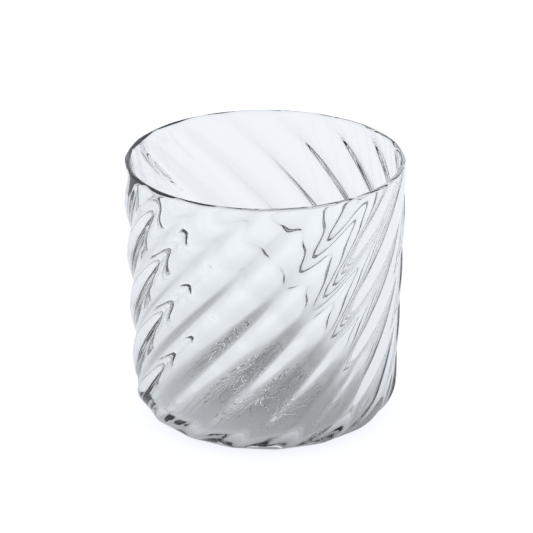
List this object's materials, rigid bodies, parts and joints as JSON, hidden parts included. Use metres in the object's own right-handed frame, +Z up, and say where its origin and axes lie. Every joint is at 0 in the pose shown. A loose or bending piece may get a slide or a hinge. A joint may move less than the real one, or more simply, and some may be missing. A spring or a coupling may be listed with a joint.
{
  "type": "glass tumbler",
  "caption": "Low, slightly tapered drinking glass of clear blown glass, with twisted ribs round its wall, a rounded heel, a thin floor and a plain rounded lip.",
  "frame": {"origin": "centre of the foot, on the surface that the tumbler stands on", "axes": "+Z up along the tumbler's axis; -Y faces the picture's camera and +X is to its right"},
  "size_m": [0.0856, 0.0856, 0.0825],
  "materials": {
    "clear_glass": "fire-polished, clear"
  },
  "bodies": {
    "root": {"tumbler": "clear_glass"}
  },
  "joints": []
}
